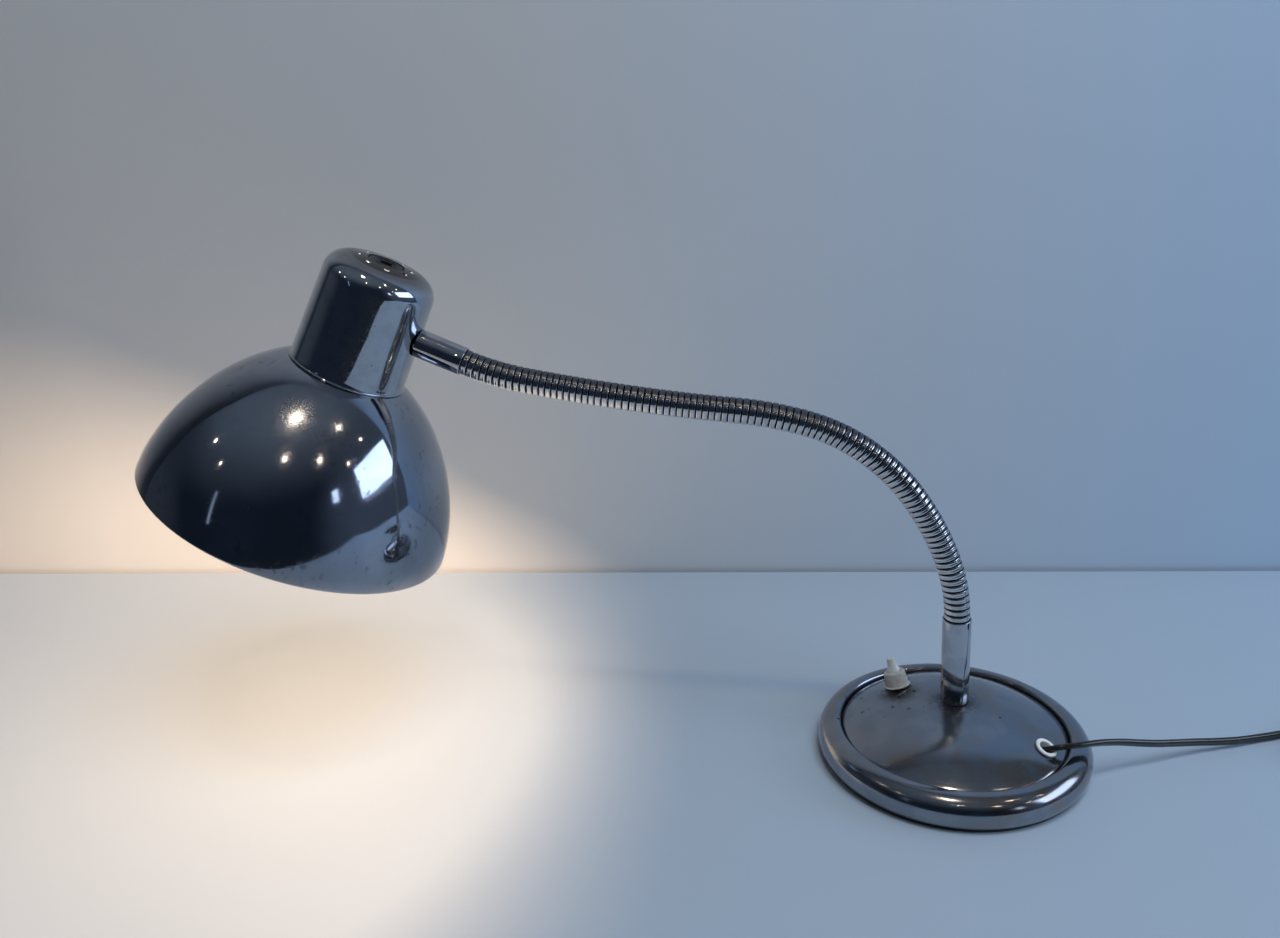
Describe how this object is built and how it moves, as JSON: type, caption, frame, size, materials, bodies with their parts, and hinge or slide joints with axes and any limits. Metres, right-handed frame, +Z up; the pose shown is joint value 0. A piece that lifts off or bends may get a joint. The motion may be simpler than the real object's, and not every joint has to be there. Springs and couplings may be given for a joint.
{
  "type": "gooseneck desk lamp",
  "caption": "Desk lamp: weighted dome base with push switch, flexible ribbed neck that stays where it is bent, and a tilted cap with a flared reflector shade.",
  "frame": {"origin": "centre of the base's foot, on the table", "axes": "+Z up, -X from the stem towards the head, +Y to the switch's side"},
  "size_m": [0.7483, 0.175, 0.2908],
  "materials": {
    "chrome_shell": "polished",
    "cast_iron": "matte",
    "plain_steel": "satin",
    "felt": "matte",
    "chrome_tube": "polished",
    "brass_fitting": "satin",
    "grommet_white": "gloss",
    "clamp_fibre": "matte",
    "ivory_bakelite": "gloss",
    "button_white": "gloss",
    "spring_steel": "satin",
    "cord_sheath": "satin",
    "wire_cover": "satin",
    "neck_chrome": "polished",
    "cap_chrome": "polished",
    "dark_nut": "satin",
    "brown_bakelite": "gloss",
    "shade_metal": "polished",
    "bulb_glass": "gloss",
    "bulb_brass": "satin",
    "filament": "gloss",
    "black_tie": "matte",
    "plug_black": "satin"
  },
  "bodies": {
    "base": {"base_shell": "chrome_shell", "base_weight": "cast_iron", "base_plate": "plain_steel", "plate_screws": "plain_steel", "base_felt": "felt", "stem": "chrome_tube", "stem_nipple": "brass_fitting", "stem_nut": "brass_fitting", "grommet": "grommet_white", "cord_clamp": "clamp_fibre", "clamp_screws": "plain_steel", "terminal_block": "ivory_bakelite", "inner_cord": "cord_sheath", "base_wires": "wire_cover", "switch_body": "ivory_bakelite", "switch_collar": "ivory_bakelite", "switch_spring": "spring_steel", "switch_terminals": "brass_fitting", "neck_link_0": "neck_chrome", "neck_lead_0": "cord_sheath", "cord_lead": "cord_sheath", "cord_coil": "cord_sheath", "cord_tail": "cord_sheath", "cord_tie": "black_tie", "plug_body": "plug_black", "plug_pins": "brass_fitting"},
    "neck_1": {"neck_link_1": "neck_chrome", "neck_lead_1": "cord_sheath"},
    "neck_2": {"neck_link_2": "neck_chrome", "neck_lead_2": "cord_sheath"},
    "neck_3": {"neck_link_3": "neck_chrome", "neck_lead_3": "cord_sheath"},
    "neck_4": {"neck_link_4": "neck_chrome", "neck_lead_4": "cord_sheath"},
    "neck_5": {"neck_link_5": "neck_chrome", "neck_lead_5": "cord_sheath"},
    "neck_6": {"neck_link_6": "neck_chrome", "neck_lead_6": "cord_sheath"},
    "neck_7": {"neck_link_7": "neck_chrome", "neck_lead_7": "cord_sheath"},
    "neck_8": {"neck_link_8": "neck_chrome", "neck_lead_8": "cord_sheath"},
    "head": {"neck_link_9": "neck_chrome", "neck_lead_9": "cord_sheath", "head_ferrule": "chrome_tube", "ferrule_nut": "brass_fitting", "cap_shell": "cap_chrome", "cap_nut": "dark_nut", "holder_nipple": "brass_fitting", "holder_cap": "brown_bakelite", "holder_body": "brown_bakelite", "screw_shell": "brass_fitting", "holder_contacts": "brass_fitting", "head_wires": "wire_cover", "shade_ring": "brown_bakelite", "shade": "shade_metal", "bulb_glass": "bulb_glass", "bulb_cap": "bulb_brass", "bulb_filament": "filament"},
    "button": {"switch_plunger": "button_white"}
  },
  "joints": [
    {"name": "neck_bend_1", "type": "hinge", "parent": "base", "child": "neck_1", "pos_m": [-0.0023, 0, 0.10441], "axis": [0, 1, 0], "range_deg": [-9.5, 30]},
    {"name": "neck_sway_2", "type": "hinge", "parent": "neck_1", "child": "neck_2", "pos_m": [-0.01628, 0, 0.139], "axis": [0.8788, 0, 0.4772], "range_deg": [-20, 20]},
    {"name": "neck_bend_3", "type": "hinge", "parent": "neck_2", "child": "neck_3", "pos_m": [-0.03767, 0, 0.16955], "axis": [0, -1, 0], "range_deg": [-30, 10.5]},
    {"name": "neck_sway_4", "type": "hinge", "parent": "neck_3", "child": "neck_4", "pos_m": [-0.06785, 0, 0.19147], "axis": [0.4344, 0, 0.9007], "range_deg": [-20, 20]},
    {"name": "neck_bend_5", "type": "hinge", "parent": "neck_4", "child": "neck_5", "pos_m": [-0.10379, 0, 0.20144], "axis": [0, -1, 0], "range_deg": [-30, 19]},
    {"name": "neck_sway_6", "type": "hinge", "parent": "neck_5", "child": "neck_6", "pos_m": [-0.14095, 0, 0.20469], "axis": [0.1045, 0, 0.9945], "range_deg": [-20, 20]},
    {"name": "neck_bend_7", "type": "hinge", "parent": "neck_6", "child": "neck_7", "pos_m": [-0.17797, 0, 0.20924], "axis": [0, 1, 0], "range_deg": [-20, 27]},
    {"name": "neck_sway_8", "type": "hinge", "parent": "neck_7", "child": "neck_8", "pos_m": [-0.21481, 0, 0.21507], "axis": [-0.1693, 0, -0.9856], "range_deg": [-20, 20]},
    {"name": "neck_bend_9", "type": "hinge", "parent": "neck_8", "child": "head", "pos_m": [-0.25149, 0, 0.22187], "axis": [0, 1, 0], "range_deg": [-20, 17]},
    {"name": "button_press", "type": "slide", "parent": "base", "child": "button", "axis": [0.2534, -0.1875, -0.949], "range_m": [0, 0.003], "stiffness_N_per_m": 400, "springref_m": -0.003, "deforming": ["switch_spring"]}
  ]
}
